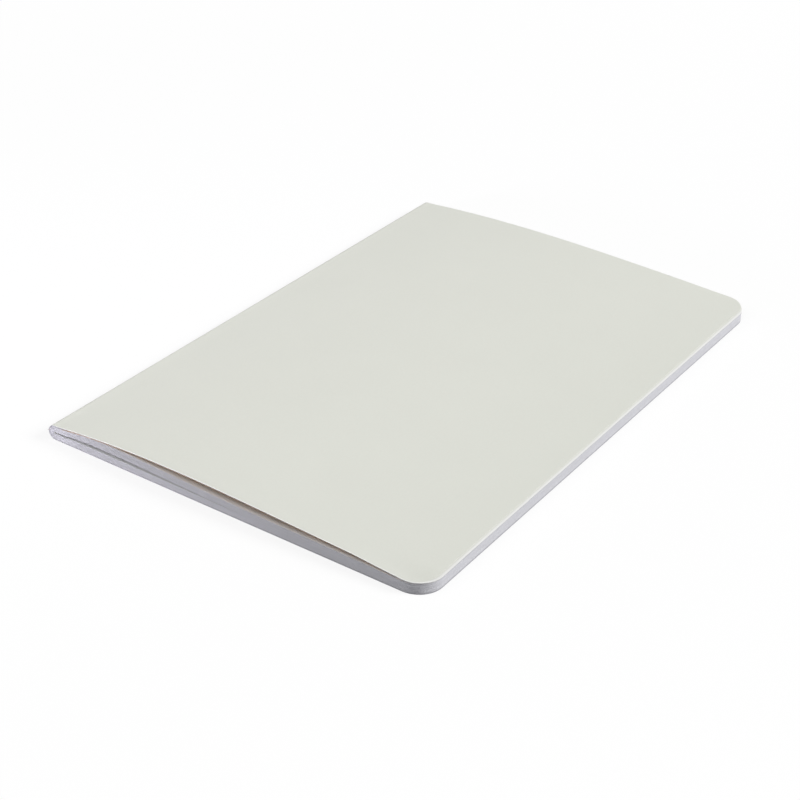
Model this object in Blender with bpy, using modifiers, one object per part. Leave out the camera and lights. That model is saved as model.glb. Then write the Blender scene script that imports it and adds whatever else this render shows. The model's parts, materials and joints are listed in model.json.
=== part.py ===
"""Sewn notepad: one section of folded sheets, sewn through the fold to a one-piece card cover.

The pad lies on its back cover. +X runs from the spine to the fore-edge, +Y along the spine and +Z up.
The origin is under the middle of the pad, on the surface that it lies on.

The covers and leaves open about one line, the centre of the nested folds. The folds, the cover's
spine and the threads fill a cylinder around that line, and every leaf starts just outside it.
"""
import math

import bmesh
import bpy

MM = 0.001

# Driving dimensions
WIDTH = 140.0 * MM
LENGTH = 210.0 * MM
CORNER_RADIUS = 8.2 * MM
SHEETS = 16
PAPER = 0.09 * MM
CARD = 0.4 * MM
LEAF_PITCH = 0.1125 * MM
LEAF_GAP = 0.02 * MM
FOLD_INNER_RADIUS = 0.3 * MM
THREAD_RADIUS = 0.18 * MM
STITCH_LENGTH = 7.0 * MM
STITCH_RISE = 0.1 * MM

# The folds and the axis that they share, measured from the spine's outer face and from the ground
FOLD_CARD_RADIUS = FOLD_INNER_RADIUS + SHEETS * LEAF_PITCH + LEAF_GAP
AXIS_X = FOLD_CARD_RADIUS + CARD
AXIS_Z = AXIS_X
FOLD_REACH = 2.85 * MM
LEAF_REACH = 2.95 * MM
FOLD_STEPS = 10
FOLD_END = 4.0 * MM

# The outer thread stands proud of the spine, and the origin is under the middle of both
THREAD_CLEARANCE = 0.03 * MM
THREAD_PROUD = 2 * THREAD_RADIUS + STITCH_RISE + THREAD_CLEARANCE
SPINE_X = (THREAD_PROUD - WIDTH) / 2

# How the pressed leaves spring apart near the spine: extra pitch of the leaves, and the split
# between the two halves of the innermost sheet, each over its own stretch of the width
BACK_SPRING = 0.021 * MM
BACK_RISE_END = 14.0 * MM
BACK_FALL = (25.0 * MM, 80.0 * MM)
FRONT_SPRING = 0.056 * MM
FRONT_RISE_END = 30.0 * MM
FRONT_FALL = (20.0 * MM, 110.0 * MM)
SPLIT_AT_FOLD = 2 * FOLD_INNER_RADIUS - LEAF_GAP
SPLIT_SPRING = 0.56 * MM
SPLIT_RISE_END = 20.0 * MM
SPLIT_FALL = (15.0 * MM, 85.0 * MM)

# The front cover bows up off the leaves, highest a third of the way across
BOW_HEIGHT = 2.57 * MM
FORE_EDGE_UNDERSIDE = 4.5 * MM

# How finely a leaf is divided across its width and around its corners
LEAF_STEPS = 11
LEAF_STEP_GROWTH = 1.4
CORNER_STEPS = 4
THREAD_POINTS_PER_STITCH = 3

CARD_COLOUR = (0.715, 0.735, 0.665, 1.0)
PAPER_COLOUR = (0.84, 0.84, 0.87, 1.0)
THREAD_COLOUR = (0.80, 0.79, 0.74, 1.0)


def smooth(start, end, x):
    """0 before start, 1 after end, and a smooth step between them."""
    t = min(max((x - start) / (end - start), 0.0), 1.0)
    return t * t * (3 - 2 * t)


def back_pitch(x):
    swell = smooth(FOLD_END, BACK_RISE_END, x) * (1 - smooth(*BACK_FALL, x))
    return LEAF_PITCH + BACK_SPRING * swell


def front_pitch(x):
    swell = smooth(FOLD_END, FRONT_RISE_END, x) * (1 - smooth(*FRONT_FALL, x))
    return LEAF_PITCH + FRONT_SPRING * swell


def split(x):
    opening = SPLIT_AT_FOLD + SPLIT_SPRING * smooth(FOLD_END, SPLIT_RISE_END, x)
    return LEAF_GAP + opening * (1 - smooth(*SPLIT_FALL, x))


def back_leaf_height(sheet, x):
    """Mid height of a back leaf. Sheet 1 is the innermost, so its back leaf is the top one."""
    return CARD + LEAF_GAP + (SHEETS - sheet + 0.5) * back_pitch(x)


def front_leaf_height(sheet, x):
    split_top = CARD + LEAF_GAP + SHEETS * back_pitch(x) + split(x)
    return split_top + (sheet - 0.5) * front_pitch(x)


def front_cover_height(x):
    """Mid height of the bowed front cover."""
    across = max((x - FOLD_END) / (WIDTH - FOLD_END), 0.0)
    root = AXIS_Z + FOLD_CARD_RADIUS
    chord = root + (FORE_EDGE_UNDERSIDE - root) * across
    bow = 6.75 * across * (1 - across) ** 2
    return chord + BOW_HEIGHT * bow + CARD / 2


def half_length(x):
    """Half the length of the pad at x, shorter where the fore-edge corners are rounded."""
    into_corner = max(x - (WIDTH - CORNER_RADIUS), 0.0)
    return LENGTH / 2 - CORNER_RADIUS + math.sqrt(CORNER_RADIUS ** 2 - min(into_corner, CORNER_RADIUS) ** 2)


def leaf_stations(start):
    """Places across a leaf: closer together near the fold, then around the corner's arc."""
    corner_start = WIDTH - CORNER_RADIUS
    body = [start + (corner_start - start) * (i / LEAF_STEPS) ** LEAF_STEP_GROWTH for i in range(LEAF_STEPS + 1)]
    corner = [
        corner_start + CORNER_RADIUS * math.sin(math.radians(90) * i / CORNER_STEPS)
        for i in range(1, CORNER_STEPS + 1)
    ]
    return body + corner


def leaf_start(fold_radius):
    """Where a leaf begins: just outside the cylinder that the folds fill."""
    return AXIS_X + math.sqrt(LEAF_REACH ** 2 - fold_radius ** 2)


def leaf_path(start, height):
    return [(x, height(x)) for x in leaf_stations(start)]


def fold_path(mid_radius, outer_radius):
    """A U round the axis, with arms that stop inside the cylinder that the folds fill."""
    arm = AXIS_X + math.sqrt(FOLD_REACH ** 2 - outer_radius ** 2)
    arc = []
    for i in range(FOLD_STEPS + 1):
        angle = math.radians(90 + 180 * i / FOLD_STEPS)
        arc.append((AXIS_X + mid_radius * math.cos(angle), AXIS_Z + mid_radius * math.sin(angle)))
    return [(arm, AXIS_Z + mid_radius)] + arc + [(arm, AXIS_Z - mid_radius)]


def material(name, colour, roughness):
    made = bpy.data.materials.new(name)
    made.use_nodes = True
    shader = made.node_tree.nodes["Principled BSDF"]
    shader.inputs["Base Color"].default_value = colour
    shader.inputs["Roughness"].default_value = roughness
    shader.inputs["Metallic"].default_value = 0.0
    return made


def add_to_pad(piece, finish):
    """Puts a piece in the pad's collection, with its origin on the fold's axis."""
    piece.data.materials.append(finish)
    piece.parent = fold_axis
    pad.objects.link(piece)


def sheet_piece(name, path, thickness, finish):
    """A flat grid bent along a path of (x, z) points, trimmed to the pad's outline and thickened."""
    steps = len(path) - 1
    bm = bmesh.new()
    bmesh.ops.create_grid(bm, x_segments=steps, y_segments=1, size=0.5)
    for vertex in bm.verts:
        x, z = path[round((vertex.co.x + 0.5) * steps)]
        side = math.copysign(half_length(x), vertex.co.y)
        vertex.co = (x - AXIS_X, side, z - AXIS_Z)
    mesh = bpy.data.meshes.new(name)
    bm.to_mesh(mesh)
    bm.free()
    piece = bpy.data.objects.new(name, mesh)
    add_to_pad(piece, finish)
    solid = piece.modifiers.new("thickness", "SOLIDIFY")
    solid.thickness = thickness
    solid.offset = 0.0
    solid.use_even_offset = True
    return piece


def thread_piece(name, rest_x, rise, finish):
    """A thread along the fold that lies close at each needle hole and stands off between them."""
    count = round(LENGTH / STITCH_LENGTH) * THREAD_POINTS_PER_STITCH
    curve = bpy.data.curves.new(name, "CURVE")
    curve.dimensions = "3D"
    curve.bevel_depth = THREAD_RADIUS
    curve.bevel_resolution = 2
    curve.use_fill_caps = True
    spline = curve.splines.new("POLY")
    spline.points.add(count)
    for i, point in enumerate(spline.points):
        lift = abs(math.sin(math.pi * i / THREAD_POINTS_PER_STITCH))
        y = LENGTH * (i / count - 0.5)
        point.co = (rest_x + rise * lift - AXIS_X, y, 0.0, 1.0)
    add_to_pad(bpy.data.objects.new(name, curve), finish)


def make_cover(finish):
    outer_radius = FOLD_CARD_RADIUS + CARD
    mid_radius = FOLD_CARD_RADIUS + CARD / 2
    start = leaf_start(FOLD_CARD_RADIUS)
    sheet_piece("front_cover", leaf_path(start, front_cover_height), CARD, finish)
    sheet_piece("cover_spine", fold_path(mid_radius, outer_radius), CARD, finish)
    sheet_piece("back_cover", leaf_path(start, lambda x: CARD / 2), CARD, finish)


def make_sheet(sheet, finish):
    """One folded sheet: its fold, and a leaf on each side of the centre."""
    name = f"sheet_{sheet:02d}"
    radius = FOLD_INNER_RADIUS + (sheet - 0.5) * LEAF_PITCH
    start = leaf_start(radius)
    sheet_piece(f"{name}_fold", fold_path(radius, radius + PAPER / 2), PAPER, finish)
    sheet_piece(f"{name}_front_leaf", leaf_path(start, lambda x: front_leaf_height(sheet, x)), PAPER, finish)
    sheet_piece(f"{name}_back_leaf", leaf_path(start, lambda x: back_leaf_height(sheet, x)), PAPER, finish)


def make_threads(finish):
    """A lockstitch: one thread along the outside of the spine and one in the centre fold."""
    outside = -(THREAD_CLEARANCE + THREAD_RADIUS)
    inside = AXIS_X - FOLD_INNER_RADIUS + LEAF_PITCH / 2 + THREAD_RADIUS
    thread_piece("outer_thread", outside, -STITCH_RISE, finish)
    thread_piece("inner_thread", inside, STITCH_RISE, finish)


for old in list(bpy.data.objects):
    bpy.data.objects.remove(old)

pad = bpy.data.collections.new("sewn_notepad")
bpy.context.scene.collection.children.link(pad)
fold_axis = bpy.data.objects.new("fold_axis", None)
fold_axis.location = (SPINE_X + AXIS_X, 0.0, AXIS_Z)
pad.objects.link(fold_axis)

card = material("cover_card", CARD_COLOUR, 0.6)
paper = material("page_paper", PAPER_COLOUR, 0.85)
thread = material("sewing_thread", THREAD_COLOUR, 0.7)

make_cover(card)
for number in range(1, SHEETS + 1):
    make_sheet(number, paper)
make_threads(thread)
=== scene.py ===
"""The looks of a sewn notepad: a bowed card cover, sheets that bend at the fold, twisted threads."""
import json
import math
import random

import bmesh
import bpy
from mathutils import Matrix, Vector


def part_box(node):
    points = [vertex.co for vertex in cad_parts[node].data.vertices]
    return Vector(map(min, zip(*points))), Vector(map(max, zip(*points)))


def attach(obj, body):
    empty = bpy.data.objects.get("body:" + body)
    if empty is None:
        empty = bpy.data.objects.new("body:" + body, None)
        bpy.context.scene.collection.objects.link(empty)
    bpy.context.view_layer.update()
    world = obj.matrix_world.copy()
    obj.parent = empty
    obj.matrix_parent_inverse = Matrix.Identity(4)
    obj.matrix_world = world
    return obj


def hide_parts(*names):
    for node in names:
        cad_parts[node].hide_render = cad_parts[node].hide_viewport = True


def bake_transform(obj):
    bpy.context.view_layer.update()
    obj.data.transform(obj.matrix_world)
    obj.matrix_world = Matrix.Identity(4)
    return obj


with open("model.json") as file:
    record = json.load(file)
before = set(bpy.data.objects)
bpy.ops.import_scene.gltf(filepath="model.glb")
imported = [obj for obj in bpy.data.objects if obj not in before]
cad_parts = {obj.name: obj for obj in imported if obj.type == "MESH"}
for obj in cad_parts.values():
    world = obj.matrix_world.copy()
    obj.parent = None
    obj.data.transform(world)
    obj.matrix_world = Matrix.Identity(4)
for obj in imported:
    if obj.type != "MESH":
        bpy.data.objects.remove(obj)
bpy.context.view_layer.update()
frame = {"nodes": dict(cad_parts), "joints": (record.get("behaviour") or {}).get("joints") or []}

MM = 0.001

# Sizes read from the frame
SHEETS = sum(name.endswith("_fold") for name in frame["nodes"])
BACK_LOW, BACK_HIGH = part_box("back_cover")
SPINE_LOW, SPINE_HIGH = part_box("cover_spine")
PAD_JOINT = next(joint for joint in frame["joints"] if joint["name"] == "pad_open")
AXIS_X, _, AXIS_Z = PAD_JOINT["pos_m"]
CARD = BACK_HIGH.z - BACK_LOW.z
SPINE_X = SPINE_LOW.x
WIDTH = BACK_HIGH.x - SPINE_X
LENGTH = SPINE_HIGH.y - SPINE_LOW.y
INNER_FOLD_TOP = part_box("sheet_01_fold")[1].z
OUTER_FOLD_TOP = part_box(f"sheet_{SHEETS:02d}_fold")[1].z
LEAF_PITCH = (OUTER_FOLD_TOP - INNER_FOLD_TOP) / (SHEETS - 1)
CARD_RADIUS = AXIS_X - SPINE_X - CARD

# Sizes of the real pad that the frame's boxes don't give
PAPER = 0.09 * MM
LEAF_GAP = 0.02 * MM
CORNER_RADIUS = 8.2 * MM
INNER_RADIUS = CARD_RADIUS - LEAF_GAP - SHEETS * LEAF_PITCH
FOLD_END = 4.0 * MM

# How far past the fold's axis a sheet curves over when the pad opens
INNER_BEND = 3.2 * MM
BEND_GROWTH = 1.35

# The spring of the leaves near the spine, as distances from the spine's outer face
BACK_SPRING = 0.021 * MM
BACK_RISE_END = 14.0 * MM
BACK_FALL = (25.0 * MM, 80.0 * MM)
FRONT_SPRING = 0.056 * MM
FRONT_RISE_END = 30.0 * MM
FRONT_FALL = (20.0 * MM, 110.0 * MM)
SPLIT_SPRING = 0.56 * MM
SPLIT_RISE_END = 20.0 * MM
SPLIT_FALL = (15.0 * MM, 85.0 * MM)
FAR_END_SPRING = 0.7
PRESSED_PITCH = 0.102 * MM
PRESSED_FROM = (100.0 * MM, 135.0 * MM)
CORNER_PITCH = 0.095 * MM
CORNER_PRESS_FROM = 75.0 * MM

# The bow of the front cover at the pad's near end and at its far end
NEAR_BOW = 2.57 * MM
FAR_BOW = 2.1 * MM
NEAR_BOW_SKEW = 2.0
FAR_BOW_SKEW = 1.6
NEAR_FORE_EDGE = 4.5 * MM
FAR_FORE_EDGE = 4.75 * MM

# The cut edge of the cover: rolled down onto the leaves by the blade at the fore-edge, and rounded
ROLL_REACH = 0.6 * MM
ROLL_FACING = (25.0, 65.0)
SAG_REACH = 9.0 * MM
FAR_SAG = 0.15
ROLL_FROM = (112.0 * MM, 138.0 * MM)
ROLL_CLEARANCE = 0.04 * MM
ROUND_REACH = 0.2 * MM
ROUND_FROM = (3.0 * MM, 8.0 * MM)
LIP_DEPTH = 0.24 * MM
END_LIP_FROM_TOP = 0.2
# The pale edge band's reach at the ends and fore-edge: card's core, widened as a painted highlight
END_CORE_AND_HIGHLIGHT = 0.28 * MM
FORE_EDGE_CORE_AND_HIGHLIGHT = 0.3 * MM
CORE_AND_HIGHLIGHT_FADE = (0.5, 1.5)

# How finely the sheets are divided
ARC_STEPS = 14
BEND_STEPS = 14
ARM_STEPS = 28
ARM_GROWTH = 1.3
CORNER_STEPS = 8
RIM_STEPS = 14
RIM_GROWTH = 1.35
RIM_REACH = 1.0 * MM
COVER_RIM = [RIM_REACH * (i / RIM_STEPS) ** RIM_GROWTH for i in range(RIM_STEPS + 1)]
PAPER_RIM = [0.0]
CORNER_START = 1.4 * MM
PAPER_ROWS = 8
SHARP_ANGLE = math.radians(35)

# How unevenly the leaves are trimmed
TRIM_JITTER = 0.05 * MM
TRIM_SEED = 7

# Stitching
STITCH_LENGTH = 7.0 * MM
STITCHES = round(LENGTH / STITCH_LENGTH)
ROWS_PER_STITCH = 10
STRAND_RADIUS = 0.1 * MM
STRAND_OFFSET = 0.085 * MM
STRAND_ROUNDNESS = 1
TWIST_PITCH = 0.9 * MM
TWIST_STEP = 0.1 * MM
THREAD_RISE = 0.1 * MM
THREAD_DIP = 0.35 * MM
DIP_REACH = 0.9 * MM
PUCKER_DEPTH = 0.09 * MM
PUCKER_REACH = 1.1 * MM

# The photograph's camera, aimed at the middle of the pad
VIEW_AZIMUTH = 32.86
VIEW_ELEVATION = 30.82
VIEW_ROLL = 2.378
VIEW_DISTANCE = 595.0 * MM
VIEW_SHIFT_RIGHT = -8.04 * MM
VIEW_SHIFT_UP = -9.42 * MM
LENS = 80.11
SENSOR = 36.0


def smooth(start, end, x):
    """0 before start, 1 after end, and a smooth step between them."""
    t = min(max((x - start) / (end - start), 0.0), 1.0)
    return t * t * (3 - 2 * t)


def mix(a, b, share):
    """A number or a shader value that is a share of the way from a to b."""
    return a + (b - a) * share


# Heights of the leaves and the cover. x is measured from the spine's outer face, and along runs
# from 0 at the near end of the pad to 1 at the far end.

def spring(along):
    return mix(1.0, FAR_END_SPRING, along)


def pressed_pitch(x, along):
    """The leaves' pitch without spring: less at the fore-edge, and least at its corners."""
    corner = smooth(CORNER_PRESS_FROM, LENGTH / 2, abs(along - 0.5) * LENGTH)
    return mix(LEAF_PITCH, mix(PRESSED_PITCH, CORNER_PITCH, corner), smooth(*PRESSED_FROM, x))


def back_pitch(x, along):
    swell = smooth(FOLD_END, BACK_RISE_END, x) * (1 - smooth(*BACK_FALL, x))
    return pressed_pitch(x, along) + BACK_SPRING * swell * spring(along)


def front_pitch(x, along):
    swell = smooth(FOLD_END, FRONT_RISE_END, x) * (1 - smooth(*FRONT_FALL, x))
    return pressed_pitch(x, along) + FRONT_SPRING * swell * spring(along)


def split(x, along):
    at_fold = 2 * INNER_RADIUS - LEAF_GAP
    opening = at_fold + SPLIT_SPRING * smooth(FOLD_END, SPLIT_RISE_END, x) * spring(along)
    return LEAF_GAP + opening * (1 - smooth(*SPLIT_FALL, x))


def back_leaf_height(sheet, x, along):
    return CARD + LEAF_GAP + (SHEETS - sheet + 0.5) * back_pitch(x, along)


def front_leaf_height(sheet, x, along):
    split_top = CARD + LEAF_GAP + SHEETS * back_pitch(x, along) + split(x, along)
    return split_top + (sheet - 0.5) * front_pitch(x, along)


def front_cover_height(x, along):
    """Height of the bowed front cover's underside."""
    across = max((x - FOLD_END) / (WIDTH - FOLD_END), 0.0)
    skew = mix(NEAR_BOW_SKEW, FAR_BOW_SKEW, along)
    peak = 1 / (1 + skew)
    bow = across * (1 - across) ** skew / (peak * (1 - peak) ** skew)
    root = AXIS_Z + CARD_RADIUS
    chord = mix(root, mix(NEAR_FORE_EDGE, FAR_FORE_EDGE, along), across)
    return chord + mix(NEAR_BOW, FAR_BOW, along) * bow


def rolled_cover_height(x, y):
    """The front cover's underside: rolled down onto the leaves at the fore-edge.

    It sags at its near corner, and hardly at its far one.
    """
    along = y / LENGTH + 0.5
    height = front_cover_height(x, along)
    room = height - front_leaf_height(SHEETS, x, along) - PAPER / 2 - ROLL_CLEARANCE
    roll = (1 - smooth(0.0, ROLL_REACH, inside_outline(x, y))) * faces_fore_edge(x, y)
    sag = (1 - smooth(0.0, SAG_REACH, LENGTH / 2 - abs(y))) * mix(1.0, FAR_SAG, along)
    return height - room * smooth(*ROLL_FROM, x) * (1 - (1 - roll) * (1 - sag))


def lip(x, y):
    """How much thinner the front cover is at its rounded cut edges."""
    into_edge = 1 - min(max(inside_outline(x, y), 0.0) / ROUND_REACH, 1.0)
    return LIP_DEPTH * (1 - math.sqrt(1 - into_edge ** 2)) * smooth(*ROUND_FROM, x)


def lip_from_top(x):
    """The share of the rounding that is on top: a little at the ends, all of it at the rolled edge."""
    return mix(END_LIP_FROM_TOP, 1.0, smooth(*ROLL_FROM, x))


def cover_top_height(x, y):
    return rolled_cover_height(x, y) + CARD - lip(x, y) * lip_from_top(x)


def cover_under_height(x, y):
    return rolled_cover_height(x, y) + lip(x, y) * (1 - lip_from_top(x))


def worn_edge(x, y):
    """How much pale edge band shows, all at a cut edge and further in at the rolled edge: core, then
    painted highlight.
    """
    reach = mix(END_CORE_AND_HIGHLIGHT, FORE_EDGE_CORE_AND_HIGHLIGHT, smooth(*ROLL_FROM, x))
    start, end = (share * reach for share in CORE_AND_HIGHLIGHT_FADE)
    return 1 - smooth(start, end, inside_outline(x, y))


def unworn(x, y):
    return 0.0


def inside_outline(x, y):
    """How far a point of the flat sheet is from its nearest cut edge."""
    past_x = x - (WIDTH - CORNER_RADIUS)
    past_y = abs(y) - (LENGTH / 2 - CORNER_RADIUS)
    if past_x > 0 and past_y > 0:
        return CORNER_RADIUS - math.hypot(past_x, past_y)
    return CORNER_RADIUS - max(past_x, past_y)


def faces_fore_edge(x, y):
    """1 where the nearest cut edge is the fore-edge, 0 where it is an end, a share round a corner."""
    past_x = x - (WIDTH - CORNER_RADIUS)
    past_y = abs(y) - (LENGTH / 2 - CORNER_RADIUS)
    if past_x > 0 and past_y > 0:
        return smooth(*ROLL_FACING, math.degrees(math.atan2(past_x, past_y)))
    return float(past_x > past_y)


# Meshes

def edge_steps(rim):
    """Distances in from a cut edge at which a sheet is divided: its rim, then its corner's radius."""
    return rim + [mix(CORNER_START, CORNER_RADIUS, i / CORNER_STEPS) for i in range(CORNER_STEPS + 1)]


def round_corner(x, y):
    """Moves a point of a square-cornered sheet to its place on the sheet with rounded corners."""
    across = (x - (WIDTH - CORNER_RADIUS)) / CORNER_RADIUS
    up = (abs(y) - (LENGTH / 2 - CORNER_RADIUS)) / CORNER_RADIUS
    if across <= 0 or up <= 0:
        return x, y
    angle = math.pi / 4 * (up / across if across >= up else 2 - across / up)
    radius = CORNER_RADIUS * max(across, up)
    y_from_middle = LENGTH / 2 - CORNER_RADIUS + radius * math.sin(angle)
    return WIDTH - CORNER_RADIUS + radius * math.cos(angle), math.copysign(y_from_middle, y)


def bend_reach(radius):
    """How far past the fold's axis a sheet curves over: further for the outer sheets."""
    return INNER_BEND + BEND_GROWTH * radius


def half_sheet_points(radius, side, height, rim, inner_rows, inset=0.0):
    """Rows of points over one face of half a folded sheet, from the middle of its fold outwards.

    side is 1 for the front half and -1 for the back half. inset is how far the cut edges are pulled in.
    """
    axis = AXIS_X - SPINE_X
    stations = []
    for i in range(ARC_STEPS):
        angle = math.pi * (1 - i / ARC_STEPS / 2)
        stations.append((axis + radius * math.cos(angle), AXIS_Z + side * radius * math.sin(angle)))
    bend_end = axis + bend_reach(radius)
    stations += [(mix(axis, bend_end, i / BEND_STEPS), None) for i in range(BEND_STEPS)]
    for i in range(ARM_STEPS):
        stations.append((mix(bend_end, WIDTH - CORNER_RADIUS, (i / ARM_STEPS) ** ARM_GROWTH), None))
    steps = edge_steps(rim)
    stations += [(WIDTH - step, None) for step in reversed(steps)]
    ends = [LENGTH / 2 - step for step in steps]
    inner = [ends[-1] * (2 * j / inner_rows - 1) for j in range(1, inner_rows)]
    rows = [-y for y in ends] + inner + ends[::-1]
    grid = []
    for station_x, fold_z in stations:
        line = []
        for row_y in rows:
            x, y = round_corner(station_x, row_y)
            z = height(x, y) if fold_z is None else fold_z
            line.append((SPINE_X + x - inset * smooth(0.0, WIDTH, x), y * (1 - 2 * inset / LENGTH), z))
        grid.append(line)
    return grid


def closed_sheet(name, outer, inner, finishes, edge_wear_and_highlight=(unworn, unworn)):
    """A piece between two faces that are given as rows of points.

    finishes are for its two faces and its cut edges. The last argument gives, for each face, the share of
    the pale edge band at a point of the flat sheet: the card's core, and a painted highlight.
    """
    bm = bmesh.new()
    wear_and_highlight = bm.verts.layers.float.new("worn_edge")
    faces = [[[bm.verts.new(point) for point in line] for line in face] for face in (outer, inner)]
    last, end = len(outer) - 1, len(outer[0]) - 1
    for index, face in enumerate(faces):
        for line, next_line in zip(face, face[1:]):
            for j in range(end):
                quad = bm.faces.new((line[j], next_line[j], next_line[j + 1], line[j + 1]))
                quad.material_index = index
    border = [(i, 0) for i in range(last)] + [(last, j) for j in range(end)]
    border += [(i, end) for i in range(last, 0, -1)] + [(0, j) for j in range(end, 0, -1)]
    for (i, j), (next_i, next_j) in zip(border, border[1:] + border[:1]):
        corners = faces[0][i][j], faces[0][next_i][next_j], faces[1][next_i][next_j], faces[1][i][j]
        quad = bm.faces.new(corners)
        quad.material_index = 2
    bmesh.ops.recalc_face_normals(bm, faces=bm.faces[:])
    for face, wear_and_highlight_at in zip(faces, edge_wear_and_highlight):
        for vertex in (vertex for line in face for vertex in line):
            vertex[wear_and_highlight] = wear_and_highlight_at(vertex.co.x - SPINE_X, vertex.co.y)
    mesh = bpy.data.meshes.new(name)
    bm.to_mesh(mesh)
    bm.free()
    for finish in finishes:
        mesh.materials.append(finish)
    mesh.shade_smooth()
    mesh.set_sharp_from_angle(angle=SHARP_ANGLE)
    piece = bpy.data.objects.new(name, mesh)
    bpy.context.scene.collection.objects.link(piece)
    return piece


def bend_at_fold(piece, radius):
    """Bakes the piece's place into its mesh."""
    bend_end = AXIS_X + bend_reach(radius)
    AXIS_X - radius
    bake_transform(piece)


def stitch_phase(y):
    """How far y is from the nearest needle hole, in metres."""
    holes = (y + LENGTH / 2) / STITCH_LENGTH - 0.5
    return (holes - round(holes)) * STITCH_LENGTH


def pucker(face):
    """Pulls the card in at each needle hole along the spine."""
    for line in face:
        for j, (x, y, z) in enumerate(line):
            away = math.hypot(stitch_phase(y), z - AXIS_Z)
            pull = math.exp(-(away / PUCKER_REACH) ** 2) * (x < AXIS_X)
            line[j] = (x + PUCKER_DEPTH * pull, y, z)


def cover_half(word, side, outer_height, inner_height, finishes, edge_wear_and_highlight):
    rows = STITCHES * ROWS_PER_STITCH
    outer = half_sheet_points(CARD_RADIUS + CARD, side, outer_height, COVER_RIM, rows)
    inner = half_sheet_points(CARD_RADIUS, side, inner_height, COVER_RIM, rows)
    pucker(outer)
    pucker(inner)
    piece = closed_sheet(f"cover_{word}_half", outer, inner, finishes, edge_wear_and_highlight)
    bend_at_fold(piece, CARD_RADIUS)
    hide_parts(f"{word}_cover")
    return piece


def make_cover():
    finishes = card_outside(), card_inside(), card_cut_edge()
    front = cover_half("front", 1, cover_top_height, cover_under_height, finishes, (worn_edge, unworn))
    cover_half("back", -1, lambda x, y: 0.0, lambda x, y: CARD, finishes, (worn_edge, worn_edge))
    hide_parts("cover_spine")


def leaf_face(sheet, side, height, radius, offset, inset):
    """Points over one face of half a sheet, offset from the middle of the paper."""
    def face_height(x, y):
        return height(sheet, x, y / LENGTH + 0.5) + side * offset

    return half_sheet_points(radius + offset, side, face_height, PAPER_RIM, PAPER_ROWS, inset)


def make_sheets():
    face, edge = page_face(), page_edge()
    chance = random.Random(TRIM_SEED)
    for sheet in range(1, SHEETS + 1):
        name = f"sheet_{sheet:02d}"
        radius = INNER_RADIUS + (sheet - 0.5) * LEAF_PITCH
        for word, side, height in (("front", 1, front_leaf_height), ("back", -1, back_leaf_height)):
            inset = chance.uniform(0.0, TRIM_JITTER)
            outer = leaf_face(sheet, side, height, radius, PAPER / 2, inset)
            inner = leaf_face(sheet, side, height, radius, -PAPER / 2, inset)
            piece = closed_sheet(f"{name}_{word}_half", outer, inner, (face, face, edge))
            bend_at_fold(piece, radius)
            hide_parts(f"{name}_{word}_leaf")
            if word == "front":
                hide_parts(f"{name}_fold")


def thread_line(surface_x, out):
    """Points along a lockstitched thread: flat between needle holes and drawn into the card at each."""
    count = round(LENGTH / TWIST_STEP)
    points = []
    for i in range(count + 1):
        y = LENGTH * (i / count - 0.5)
        away = abs(stitch_phase(y))
        lift = smooth(0.0, DIP_REACH, away)
        arch = math.sin(math.pi * away / STITCH_LENGTH)
        offset = mix(-THREAD_DIP, STRAND_RADIUS + STRAND_OFFSET, lift) + THREAD_RISE * arch * lift
        points.append(Vector((surface_x + out * offset, y, AXIS_Z)))
    return points


def make_thread(name, surface_x, out, finish):
    """A thread of two strands twisted round each other."""
    curve = bpy.data.curves.new(name, "CURVE")
    curve.dimensions = "3D"
    curve.bevel_depth = STRAND_RADIUS
    curve.bevel_resolution = STRAND_ROUNDNESS
    curve.use_fill_caps = True
    line = thread_line(surface_x, out)
    for start_angle in (0.0, math.pi):
        spline = curve.splines.new("POLY")
        spline.points.add(len(line) - 1)
        for point, centre in zip(spline.points, line):
            angle = start_angle + 2 * math.pi * centre.y / TWIST_PITCH
            x = centre.x + STRAND_OFFSET * math.cos(angle)
            z = centre.z + STRAND_OFFSET * math.sin(angle)
            point.co = (x, centre.y, z, 1.0)
    curve.materials.append(finish)
    piece = bpy.data.objects.new(name, curve)
    bpy.context.scene.collection.objects.link(piece)
    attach(piece, "spine")
    return piece


def make_threads():
    finish = sewing_thread()
    outer = make_thread("outer_stitching", SPINE_X, -1, finish)
    inner = make_thread("inner_stitching", AXIS_X - INNER_RADIUS, 1, finish)
    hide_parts("outer_thread")
    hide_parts("inner_thread")


# Shader maths

# A Mix node has sockets for each kind of value: these are the numbers of its share and of its colours
MIX_SHARE, MIX_FIRST, MIX_SECOND, MIX_RESULT = 0, 6, 7, 2


class Value:
    """A shader socket in an expression. Arithmetic on it adds Math nodes."""

    def __init__(self, shader, socket):
        self.shader = shader
        self.socket = socket

    def __add__(self, other):
        return self.shader.math("ADD", self, other)

    def __radd__(self, other):
        return self.shader.math("ADD", other, self)

    def __sub__(self, other):
        return self.shader.math("SUBTRACT", self, other)

    def __rsub__(self, other):
        return self.shader.math("SUBTRACT", other, self)

    def __mul__(self, other):
        return self.shader.math("MULTIPLY", self, other)

    def __rmul__(self, other):
        return self.shader.math("MULTIPLY", other, self)

    def __truediv__(self, other):
        return self.shader.math("DIVIDE", self, other)

    def __rtruediv__(self, other):
        return self.shader.math("DIVIDE", other, self)


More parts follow.
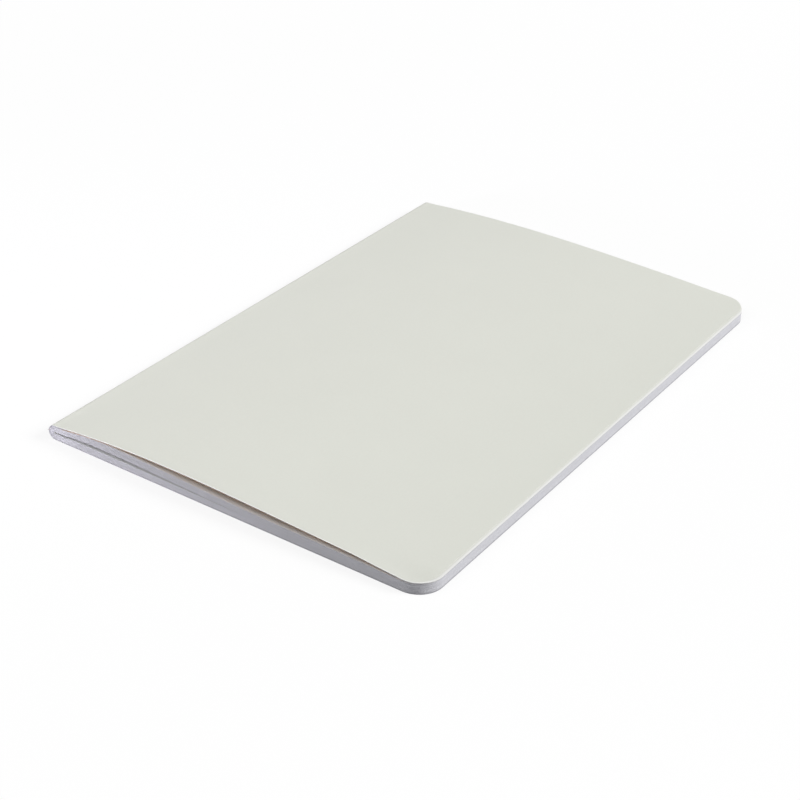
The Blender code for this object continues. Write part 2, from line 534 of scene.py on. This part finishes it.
class Shader:
    """The node tree of a material or a world, with one method that makes every node."""

    def __init__(self, owner, surface="Principled BSDF"):
        owner.use_nodes = True
        self.owner = owner
        self.tree = owner.node_tree
        self.surface = self.tree.nodes[surface]

    def link(self, value, socket):
        if isinstance(value, Value):
            self.tree.links.new(value.socket, socket)
        else:
            socket.default_value = value

    def node(self, kind, settings=None, values=None, output=0):
        """Adds a node: its settings first, and then the values or links of its sockets."""
        made = self.tree.nodes.new(kind)
        for key, setting in (settings or {}).items():
            setattr(made, key, setting)
        for key, value in (values or {}).items():
            self.link(value, made.inputs[key])
        return Value(self, made.outputs[output])

    def math(self, operation, first, second):
        return self.node("ShaderNodeMath", {"operation": operation}, {0: first, 1: second})

    def place(self):
        return self.node("ShaderNodeTexCoord", output="Object")

    def noise(self, size, squeeze=(1.0, 1.0, 1.0)):
        """Noise from 0 to 1. Its features are about this size, and longer where squeeze is below 1."""
        place = {0: self.place(), 1: squeeze}
        squeezed = self.node("ShaderNodeVectorMath", {"operation": "MULTIPLY"}, place, output="Vector")
        values = {"Vector": squeezed, "Scale": 1 / size, "Detail": NOISE_DETAIL}
        return self.node("ShaderNodeTexNoise", values=values, output="Fac")

    def wear_and_highlight(self):
        """The pale edge band, from 0 to 1, as its mesh says: the card's core and a painted highlight."""
        return self.node("ShaderNodeAttribute", {"attribute_name": "worn_edge"}, output="Fac")

    def blend(self, share, first, second):
        """A colour between two others."""
        values = {MIX_SHARE: share, MIX_FIRST: first, MIX_SECOND: second}
        return self.node("ShaderNodeMix", {"data_type": "RGBA"}, values, output=MIX_RESULT)

    def mottle(self, tone, colour, contrast):
        """A colour made darker and lighter by a share of itself, as tone goes from 0 to 1."""
        return self.blend(tone, shade(colour, 1 - contrast), shade(colour, 1 + contrast))

    def bump(self, height, distance):
        values = {"Height": height, "Distance": distance}
        return self.node("ShaderNodeBump", values=values, output="Normal")

    def finish(self, **sockets):
        """Sets the sockets of the surface, and returns the material or world."""
        for key, value in sockets.items():
            self.link(value, self.surface.inputs[key.replace("_", " ")])
        return self.owner


def shade(colour, factor):
    return tuple(channel * factor for channel in colour) + (1.0,)


# Finishes. A cloud is the size of a finish's soft variations and a fibre that of its fine ones. Mottle is
# the share by which its colour varies, and the lengths after it are how deep its grain is.

NOISE_DETAIL = 3.5
GRAIN = (1.0, 0.4, 1.0)
CLOUD_SHARE = 0.4

CARD_COLOUR = (0.724, 0.734, 0.674)
# The pale edge band's colour: the card's core, and a painted highlight along the lip
CARD_CORE_AND_HIGHLIGHT = (0.88, 0.88, 0.86)
CORE_MOTTLE = 0.04
CARD_CLOUD = 22.0 * MM
CARD_FIBRE = 0.45 * MM
CARD_MOTTLE = 0.035
CARD_FELT = 0.012 * MM
CARD_ROUGHNESS = (0.72, 0.88)
CARD_SPECULAR = 0.1

LINING_COLOUR = (0.94, 0.6, 0.32)
LINING_CLOUD = 14.0 * MM
LINING_FIBRE = 0.6 * MM
LINING_MOTTLE = 0.1
LINING_FELT = 0.02 * MM
LINING_ROUGHNESS = (0.75, 0.9)

# Cut edges: a grey darker than the core, as painted shade for the contact shadow at the pad's bottom edge
SHADED_CUT_COLOUR = (0.58, 0.58, 0.61)
CUT_FIBRE = 0.2 * MM
CUT_MOTTLE = 0.07
CUT_DEPTH = 0.02 * MM
CUT_ROUGHNESS = 0.85

PAGE_COLOUR = (0.84, 0.84, 0.845)
PAGE_CLOUD = 3.3 * MM
PAGE_FIBRE = 0.33 * MM
PAGE_MOTTLE = 0.02
PAGE_TOOTH = 0.008 * MM
PAGE_ROUGHNESS = (0.8, 0.92)
PAPER_SPECULAR = 0.3

# Bluer than the page faces: a painted tint of cool light on the leaves' cut edges
COOL_LIT_PAGE_EDGE_COLOUR = (0.81, 0.81, 0.855)
PAGE_EDGE_FIBRE = 0.4 * MM
PAGE_EDGE_STREAK = 0.67 * MM
PAGE_EDGE_MOTTLE = 0.13
STREAK_SHARE = 0.65
ALONG_LEAF = (0.3, 0.3, 3.0)
FAR_ALONG_LEAF = (0.01, 0.01, 2.0)

THREAD_COLOUR = (0.80, 0.79, 0.74)
THREAD_FIBRE = 0.11 * MM
THREAD_MOTTLE = 0.12
THREAD_FUZZ = 0.02 * MM
THREAD_ROUGHNESS = 0.7


def card_outside():
    """Pale uncoated card: an even colour with a fine felt grain, and a pale edge band of core and painted
    highlight.
    """
    shader = Shader(bpy.data.materials.new("card_outside"))
    fibre = shader.noise(CARD_FIBRE, GRAIN)
    tone = mix(fibre, shader.noise(CARD_CLOUD), CLOUD_SHARE)
    face = shader.mottle(tone, CARD_COLOUR, CARD_MOTTLE)
    core = shader.mottle(fibre, CARD_CORE_AND_HIGHLIGHT, CORE_MOTTLE)
    return shader.finish(
        # Towards the edges the face turns to the pale band: the card's core, and a painted highlight
        Base_Color=shader.blend(shader.wear_and_highlight(), face, core),
        Roughness=mix(*CARD_ROUGHNESS, fibre),
        Normal=shader.bump(fibre, CARD_FELT),
        Specular_IOR_Level=CARD_SPECULAR,
    )


def card_inside():
    """The card's unbleached inner face, with longer fibres."""
    shader = Shader(bpy.data.materials.new("card_inside"))
    fibre = shader.noise(LINING_FIBRE, GRAIN)
    tone = mix(fibre, shader.noise(LINING_CLOUD), CLOUD_SHARE)
    face = shader.mottle(tone, LINING_COLOUR, LINING_MOTTLE)
    return shader.finish(
        # At its edges the face takes the cut edge's grey, which is darkened as painted shade
        Base_Color=shader.blend(shader.wear_and_highlight(), face, shade(SHADED_CUT_COLOUR, 1.0)),
        Roughness=mix(*LINING_ROUGHNESS, fibre),
        Normal=shader.bump(fibre, LINING_FELT),
        Specular_IOR_Level=PAPER_SPECULAR,
    )


def card_cut_edge():
    """The card's core where it is cut, with torn fibre ends, in a grey darkened as painted shade at the
    bottom edge.
    """
    shader = Shader(bpy.data.materials.new("card_cut_edge"))
    fibre = shader.noise(CUT_FIBRE)
    return shader.finish(
        Base_Color=shader.mottle(fibre, SHADED_CUT_COLOUR, CUT_MOTTLE),
        Roughness=CUT_ROUGHNESS,
        Normal=shader.bump(fibre, CUT_DEPTH),
        Specular_IOR_Level=PAPER_SPECULAR,
    )


def page_face():
    """Smooth white writing paper with a faint cloudy formation."""
    shader = Shader(bpy.data.materials.new("page_face"))
    fibre = shader.noise(PAGE_FIBRE, GRAIN)
    tone = mix(fibre, shader.noise(PAGE_CLOUD), CLOUD_SHARE)
    return shader.finish(
        Base_Color=shader.mottle(tone, PAGE_COLOUR, PAGE_MOTTLE),
        Roughness=mix(*PAGE_ROUGHNESS, fibre),
        Normal=shader.bump(fibre, PAGE_TOOTH),
        Specular_IOR_Level=PAPER_SPECULAR,
    )


def page_edge():
    """Guillotined edges of the paper, a little uneven from leaf to leaf, and tinted blue as painted cool
    light.
    """
    shader = Shader(bpy.data.materials.new("page_edge"))
    fibre = shader.noise(PAGE_EDGE_FIBRE, ALONG_LEAF)
    tone = mix(fibre, shader.noise(PAGE_EDGE_STREAK, FAR_ALONG_LEAF), STREAK_SHARE)
    return shader.finish(
        Base_Color=shader.mottle(tone, COOL_LIT_PAGE_EDGE_COLOUR, PAGE_EDGE_MOTTLE),
        Roughness=mix(*PAGE_ROUGHNESS, fibre),
        Specular_IOR_Level=PAPER_SPECULAR,
    )


def sewing_thread():
    """Matt twisted thread with fine fibres along it."""
    shader = Shader(bpy.data.materials.new("sewing_thread"))
    fibre = shader.noise(THREAD_FIBRE, GRAIN)
    return shader.finish(
        Base_Color=shader.mottle(fibre, THREAD_COLOUR, THREAD_MOTTLE),
        Roughness=THREAD_ROUGHNESS,
        Normal=shader.bump(fibre, THREAD_FUZZ),
    )


# Stage

FLOOR_SIZE = 8.0
FLOOR_DROP = 0.02 * MM
FLOOR_BOUNCE = (0.1, 0.1, 0.115, 1.0)
WHITE = (1.0, 1.0, 1.0, 1.0)
SHADOW_SHARE = 0.22
SHADOW_REACH = 0.5
WORLD_LIGHT = 0.2

# Watts that light a surface fully from a metre away
SOFTBOX_WATTS = math.pi ** 2
BULB_WATTS = 4 * math.pi ** 2

# Lamps: where each stands in metres, how wide it is and how bright
PAD_PLACE = (0.0, 0.0, 0.0)
OVERHEAD_PLACE = (-0.42, -0.66, 1.02)
OVERHEAD_SIZE = 1.5
OVERHEAD_LEVEL = 0.52
FORE_EDGE_LAMP_PLACE = (1.95, 1.0, 1.45)
FORE_EDGE_LAMP_SIZE = 1.25
FORE_EDGE_LAMP_LEVEL = 0.84
SPOT_PLACE = (-0.45, -1.0, 0.1)
SPOT_AIM = (-0.17, -0.105, 0.0)
SPOT_SIZE = 0.09
SPOT_SPREAD = math.radians(20.0)
SPOT_BLUR = 1.0
SPOT_COLOUR = (0.99, 0.95, 1.07)
SPOT_LEVEL = 1.08


def seen_by_eye(shader):
    """1 for rays from the camera, off gloss or through glass, and 0 for rays that light the pad."""
    names = "Is Camera Ray", "Is Glossy Ray", "Is Transmission Ray"
    camera, gloss, glass = (shader.node("ShaderNodeLightPath", output=name) for name in names)
    return shader.math("MINIMUM", camera + gloss + glass, 1.0)


def make_floor():
    """A floor that looks white with a faint shadow, and throws back less light than it shows."""
    shader = Shader(bpy.data.materials.new("floor"))
    eye = seen_by_eye(shader)
    colour = shader.blend(eye, FLOOR_BOUNCE, WHITE)
    shader.finish(Base_Color=colour, Roughness=1.0, Specular_IOR_Level=0.0)
    glow = shader.node("ShaderNodeEmission", values={"Color": WHITE, "Strength": 1.0})
    matt = Value(shader, shader.surface.outputs[0])
    centre = {0: shader.place()}
    from_pad = shader.node("ShaderNodeVectorMath", {"operation": "LENGTH"}, centre, output="Value")
    near_pad = shader.math("MAXIMUM", 1 - from_pad / SHADOW_REACH, 0.0)
    white_share = eye * (1 - SHADOW_SHARE * near_pad)
    seen = shader.node("ShaderNodeMixShader", values={0: white_share, 1: matt, 2: glow})
    shader.link(seen, shader.tree.nodes["Material Output"].inputs["Surface"])
    bm = bmesh.new()
    bmesh.ops.create_grid(bm, x_segments=1, y_segments=1, size=FLOOR_SIZE / 2)
    mesh = bpy.data.meshes.new("floor")
    bm.to_mesh(mesh)
    bm.free()
    mesh.materials.append(shader.owner)
    floor = bpy.data.objects.new("floor", mesh)
    floor.location.z = -FLOOR_DROP
    bpy.context.scene.collection.objects.link(floor)


def make_world():
    shader = Shader(bpy.data.worlds.new("studio"), "Background")
    eye = seen_by_eye(shader)
    bpy.context.scene.world = shader.finish(Color=WHITE, Strength=mix(WORLD_LIGHT, 1.0, eye))


def add_lamp(lamp, place, aim, level):
    """Puts a lamp in place. At level 1, what it shines at squarely shows the colour it is painted.

    A softbox shines to one side, as a flat disc does, and a spot's watts are those of a bare bulb.
    """
    reach = Vector(aim) - Vector(place)
    watts = BULB_WATTS if lamp.type == "SPOT" else SOFTBOX_WATTS
    lamp.energy = level * watts * reach.length_squared
    made = bpy.data.objects.new(lamp.name, lamp)
    made.location = place
    made.rotation_euler = reach.to_track_quat("-Z", "Y").to_euler()
    bpy.context.scene.collection.objects.link(made)


def softbox(name, size):
    lamp = bpy.data.lights.new(name, "AREA")
    lamp.shape = "DISK"
    lamp.size = size
    return lamp


def make_lights():
    overhead = softbox("overhead_softbox", OVERHEAD_SIZE)
    add_lamp(overhead, OVERHEAD_PLACE, PAD_PLACE, OVERHEAD_LEVEL)
    fore_edge = softbox("fore_edge_softbox", FORE_EDGE_LAMP_SIZE)
    add_lamp(fore_edge, FORE_EDGE_LAMP_PLACE, PAD_PLACE, FORE_EDGE_LAMP_LEVEL)
    spot = bpy.data.lights.new("spine_end_spot", "SPOT")
    spot.spot_size = SPOT_SPREAD
    spot.spot_blend = SPOT_BLUR
    spot.shadow_soft_size = SPOT_SIZE
    spot.color = SPOT_COLOUR
    add_lamp(spot, SPOT_PLACE, SPOT_AIM, SPOT_LEVEL)


def make_camera():
    azimuth = math.radians(VIEW_AZIMUTH)
    elevation = math.radians(VIEW_ELEVATION)
    roll = math.radians(VIEW_ROLL)
    level_reach = math.cos(elevation)
    back = Vector((math.sin(azimuth) * level_reach, -math.cos(azimuth) * level_reach, math.sin(elevation)))
    level = Vector((0, 0, 1)).cross(back).normalized()
    upright = back.cross(level)
    right = level * math.cos(roll) + upright * math.sin(roll)
    up = upright * math.cos(roll) - level * math.sin(roll)
    aim = Vector((SPINE_X + WIDTH / 2, 0.0, 0.0)) + right * VIEW_SHIFT_RIGHT + up * VIEW_SHIFT_UP
    lens = bpy.data.cameras.new("photo_camera")
    lens.lens = LENS
    lens.sensor_width = SENSOR
    camera = bpy.data.objects.new("photo_camera", lens)
    turn = Matrix((right, up, back)).transposed().to_4x4()
    camera.matrix_world = Matrix.Translation(aim + back * VIEW_DISTANCE) @ turn
    bpy.context.scene.collection.objects.link(camera)
    bpy.context.scene.camera = camera


make_camera()
make_cover()
make_sheets()
make_threads()
make_floor()
make_world()
make_lights()
bpy.context.scene.view_settings.view_transform = "Standard"
